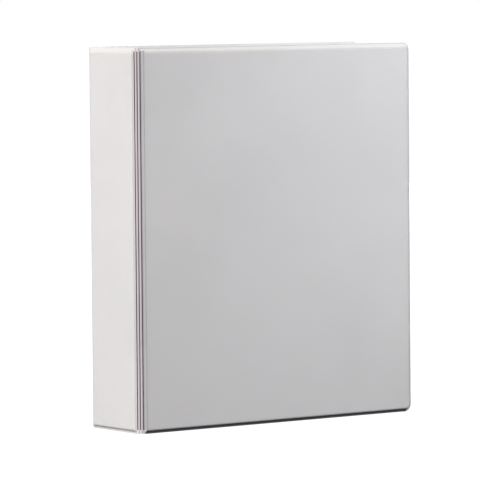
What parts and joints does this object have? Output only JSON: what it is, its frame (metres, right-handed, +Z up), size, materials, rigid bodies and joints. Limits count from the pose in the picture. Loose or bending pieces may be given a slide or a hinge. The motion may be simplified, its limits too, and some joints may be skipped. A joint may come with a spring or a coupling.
{
  "type": "ring binder",
  "caption": "White vinyl view binder with clear pockets on both covers and spine, welded hinges, and D-rings on the back cover opened by end levers.",
  "frame": {"origin": "middle of the bounding box on the plane the binder stands on", "axes": "+Z up along the spine, +X from the spine to the fore edge, -Y out of the front cover and +Y out of the back cover"},
  "size_m": [0.266, 0.071, 0.295],
  "materials": {
    "cover_vinyl": "white vinyl, soft sheen",
    "lining_vinyl": "white vinyl lining, fine grain",
    "pocket_vinyl": "white vinyl pocket sheet",
    "clear_film": "clear film, soft gloss",
    "board": "grey-brown chipboard",
    "nickel": "nickel-plated sheet steel",
    "ring_nickel": "nickel-plated round wire",
    "steel": "zinc-plated steel"
  },
  "bodies": {
    "spine": {"spine_liner": "lining_vinyl", "spine_board": "board", "spine_outer_vinyl": "cover_vinyl", "spine_clear_overlay": "clear_film"},
    "front_rib_1": {"front_hinge_rib_1": "cover_vinyl"},
    "front_rib_2": {"front_hinge_rib_2": "cover_vinyl"},
    "front_cover": {"front_cover_liner": "lining_vinyl", "front_cover_board": "board", "front_cover_outer_vinyl": "cover_vinyl", "front_cover_clear_overlay": "clear_film", "front_inner_pocket": "pocket_vinyl"},
    "back_rib_1": {"back_hinge_rib_1": "cover_vinyl"},
    "back_rib_2": {"back_hinge_rib_2": "cover_vinyl"},
    "back_cover": {"back_cover_liner": "lining_vinyl", "back_cover_board": "board", "back_cover_outer_vinyl": "cover_vinyl", "back_cover_clear_overlay": "clear_film", "back_inner_pocket": "pocket_vinyl", "ring_housing": "nickel", "mounting_rivet_top": "nickel", "mounting_rivet_bottom": "nickel", "spacer_post_top": "steel", "spacer_post_bottom": "steel", "lever_pin_top": "steel", "lever_pin_bottom": "steel"},
    "spine_side_ring_half": {"spine_side_leaf": "steel", "curved_ring_top": "ring_nickel", "curved_ring_middle": "ring_nickel", "curved_ring_bottom": "ring_nickel"},
    "fore_side_ring_half": {"fore_side_leaf": "steel", "post_ring_top": "ring_nickel", "post_ring_middle": "ring_nickel", "post_ring_bottom": "ring_nickel"},
    "lever_top_body": {"lever_top": "nickel"},
    "lever_bottom_body": {"lever_bottom": "nickel"}
  },
  "joints": [
    {"name": "front_cover_hinge", "type": "hinge", "parent": "spine", "child": "front_rib_1", "pos_m": [-0.13065, -0.03014, 0.1475], "axis": [0, 0, -1], "range_deg": [0, 60]},
    {"name": "front_rib_bend", "type": "hinge", "parent": "front_rib_1", "child": "front_rib_2", "pos_m": [-0.12955, -0.03205, 0.1475], "axis": [0, 0, -1], "range_deg": [0, 60]},
    {"name": "front_cover_bend", "type": "hinge", "parent": "front_rib_2", "child": "front_cover", "pos_m": [-0.12764, -0.03315, 0.1475], "axis": [0, 0, -1], "range_deg": [0, 60]},
    {"name": "back_cover_hinge", "type": "hinge", "parent": "spine", "child": "back_rib_1", "pos_m": [-0.13065, 0.02914, 0.1475], "axis": [0, 0, 1], "range_deg": [0, 60]},
    {"name": "back_rib_bend", "type": "hinge", "parent": "back_rib_1", "child": "back_rib_2", "pos_m": [-0.12955, 0.03105, 0.1475], "axis": [0, 0, 1], "range_deg": [0, 60]},
    {"name": "back_cover_bend", "type": "hinge", "parent": "back_rib_2", "child": "back_cover", "pos_m": [-0.12764, 0.03215, 0.1475], "axis": [0, 0, 1], "range_deg": [0, 60]},
    {"name": "ring_leaf_spine_side", "type": "hinge", "parent": "back_cover", "child": "spine_side_ring_half", "pos_m": [-0.1089, 0.0274, 0.1475], "axis": [0, 0, -1], "range_deg": [0, 17]},
    {"name": "ring_leaf_fore_side", "type": "hinge", "parent": "back_cover", "child": "fore_side_ring_half", "pos_m": [-0.0837, 0.0274, 0.1475], "axis": [0, 0, 1], "range_deg": [0, 17]},
    {"name": "lever_top_pivot", "type": "hinge", "parent": "back_cover", "child": "lever_top_body", "pos_m": [-0.0963, 0.0282, 0.2755], "axis": [-1, 0, 0], "range_deg": [0, 28]},
    {"name": "lever_bottom_pivot", "type": "hinge", "parent": "back_cover", "child": "lever_bottom_body", "pos_m": [-0.0963, 0.0282, 0.0195], "axis": [1, 0, 0], "range_deg": [0, 28]}
  ],
  "couplings": [
    {"joint": "ring_leaf_fore_side", "follows": "ring_leaf_spine_side", "ratio": 1},
    {"joint": "lever_top_pivot", "follows": "ring_leaf_spine_side", "ratio": 1.6471},
    {"joint": "lever_bottom_pivot", "follows": "ring_leaf_spine_side", "ratio": 1.6471}
  ]
}
